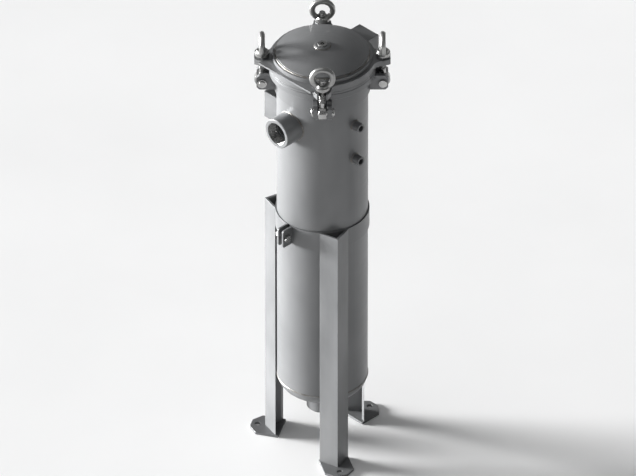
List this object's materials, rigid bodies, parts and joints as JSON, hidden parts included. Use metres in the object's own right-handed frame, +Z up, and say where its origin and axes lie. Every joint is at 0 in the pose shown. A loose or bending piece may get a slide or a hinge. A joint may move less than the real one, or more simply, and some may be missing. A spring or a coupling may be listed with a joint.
{
  "type": "bag filter housing",
  "caption": "Upright steel bag filter housing with a domed hinged lid held by swing bolts and eye nuts, a side inlet, bottom outlet, gauge ports and an angle-leg stand.",
  "frame": {"origin": "on the floor, on the vessel axis, at the centre of the foot bolt circle", "axes": "+Z up along the vessel axis, -Y out of the inlet, +X out of the gauge ports, +Y towards the lid hinge"},
  "size_m": [0.3218, 0.3326, 1.1828],
  "materials": {
    "vessel_steel": "fine satin brushed",
    "fastener_steel": "semi-bright machined",
    "felt": "needled felt",
    "seal": "matt",
    "moulded_ring": "moulded",
    "blank_plate": "satin, blank"
  },
  "bodies": {
    "housing": {"bag_ring": "moulded_ring", "basket": "vessel_steel", "basket_rim": "vessel_steel", "basket_seat": "vessel_steel", "body_flange": "vessel_steel", "body_hinge_lugs": "vessel_steel", "bottom_head": "vessel_steel", "clamp_band": "vessel_steel", "clamp_bolt": "fastener_steel", "clamp_nut": "fastener_steel", "filter_bag": "felt", "foot_plate_front_left": "vessel_steel", "foot_plate_front_right": "vessel_steel", "foot_plate_rear": "vessel_steel", "gauge_port_lower": "vessel_steel", "gauge_port_upper": "vessel_steel", "hinge_pin": "fastener_steel", "inlet_socket": "vessel_steel", "leg_front_left": "vessel_steel", "leg_front_right": "vessel_steel", "leg_rear": "vessel_steel", "lid_dome": "vessel_steel", "lid_gasket": "seal", "lid_hinge_leaf": "vessel_steel", "lid_lift_lip": "vessel_steel", "lid_plate": "vessel_steel", "lid_rim": "vessel_steel", "nameplate": "blank_plate", "nameplate_bracket": "vessel_steel", "nameplate_rivets": "fastener_steel", "neck_collar": "vessel_steel", "nut_seats": "vessel_steel", "outlet_socket": "vessel_steel", "pin_clips": "fastener_steel", "pivot_lugs_front_left": "vessel_steel", "pivot_lugs_front_right": "vessel_steel", "pivot_lugs_rear_left": "vessel_steel", "pivot_lugs_rear_right": "vessel_steel", "pivot_pin_front_left": "fastener_steel", "pivot_pin_front_right": "fastener_steel", "pivot_pin_rear_left": "fastener_steel", "pivot_pin_rear_right": "fastener_steel", "shell": "vessel_steel", "shell_lower": "vessel_steel", "vent_boss": "vessel_steel", "vent_plug": "fastener_steel"},
    "bolt_front_right": {"swing_bolt_front_right": "fastener_steel"},
    "washer_front_right": {"washer_front_right": "fastener_steel"},
    "nut_front_right": {"eye_nut_front_right": "fastener_steel"},
    "bolt_rear_right": {"swing_bolt_rear_right": "fastener_steel"},
    "washer_rear_right": {"washer_rear_right": "fastener_steel"},
    "nut_rear_right": {"eye_nut_rear_right": "fastener_steel"},
    "bolt_rear_left": {"swing_bolt_rear_left": "fastener_steel"},
    "washer_rear_left": {"washer_rear_left": "fastener_steel"},
    "nut_rear_left": {"eye_nut_rear_left": "fastener_steel"},
    "bolt_front_left": {"swing_bolt_front_left": "fastener_steel"},
    "washer_front_left": {"washer_front_left": "fastener_steel"},
    "nut_front_left": {"eye_nut_front_left": "fastener_steel"},
    "bail": {"basket_handle": "vessel_steel"}
  },
  "joints": [
    {"name": "swing_front_right", "type": "hinge", "parent": "housing", "child": "bolt_front_right", "pos_m": [0.10182, -0.10182, 1.053], "axis": [0.7071, 0.7071, 0], "range_deg": [0, 150]},
    {"name": "nut_travel_front_right", "type": "slide", "parent": "bolt_front_right", "child": "washer_front_right", "axis": [0, 0, 1], "range_m": [0, 0.018]},
    {"name": "nut_spin_front_right", "type": "hinge", "parent": "washer_front_right", "child": "nut_front_right", "pos_m": [0.10182, -0.10182, 1.1218], "axis": [0, 0, 1], "range_deg": [0, 3240]},
    {"name": "swing_rear_right", "type": "hinge", "parent": "housing", "child": "bolt_rear_right", "pos_m": [0.10182, 0.10182, 1.053], "axis": [-0.7071, 0.7071, 0], "range_deg": [0, 150]},
    {"name": "nut_travel_rear_right", "type": "slide", "parent": "bolt_rear_right", "child": "washer_rear_right", "axis": [0, 0, 1], "range_m": [0, 0.018]},
    {"name": "nut_spin_rear_right", "type": "hinge", "parent": "washer_rear_right", "child": "nut_rear_right", "pos_m": [0.10182, 0.10182, 1.1218], "axis": [0, 0, 1], "range_deg": [0, 3240]},
    {"name": "swing_rear_left", "type": "hinge", "parent": "housing", "child": "bolt_rear_left", "pos_m": [-0.10182, 0.10182, 1.053], "axis": [-0.7071, -0.7071, 0], "range_deg": [0, 150]},
    {"name": "nut_travel_rear_left", "type": "slide", "parent": "bolt_rear_left", "child": "washer_rear_left", "axis": [0, 0, 1], "range_m": [0, 0.018]},
    {"name": "nut_spin_rear_left", "type": "hinge", "parent": "washer_rear_left", "child": "nut_rear_left", "pos_m": [-0.10182, 0.10182, 1.1218], "axis": [0, 0, 1], "range_deg": [0, 3240]},
    {"name": "swing_front_left", "type": "hinge", "parent": "housing", "child": "bolt_front_left", "pos_m": [-0.10182, -0.10182, 1.053], "axis": [0.7071, -0.7071, 0], "range_deg": [0, 150]},
    {"name": "nut_travel_front_left", "type": "slide", "parent": "bolt_front_left", "child": "washer_front_left", "axis": [0, 0, 1], "range_m": [0, 0.018]},
    {"name": "nut_spin_front_left", "type": "hinge", "parent": "washer_front_left", "child": "nut_front_left", "pos_m": [-0.10182, -0.10182, 1.1218], "axis": [0, 0, 1], "range_deg": [0, 3240]},
    {"name": "handle_fold", "type": "hinge", "parent": "housing", "child": "bail", "pos_m": [0, 0, 0.928], "axis": [1, 0, 0], "range_deg": [0, 180]}
  ],
  "couplings": [
    {"joint": "nut_travel_front_right", "follows": "nut_spin_front_right", "m_per_rad": 0.00031831},
    {"joint": "nut_travel_rear_right", "follows": "nut_spin_rear_right", "m_per_rad": 0.00031831},
    {"joint": "nut_travel_rear_left", "follows": "nut_spin_rear_left", "m_per_rad": 0.00031831},
    {"joint": "nut_travel_front_left", "follows": "nut_spin_front_left", "m_per_rad": 0.00031831}
  ]
}
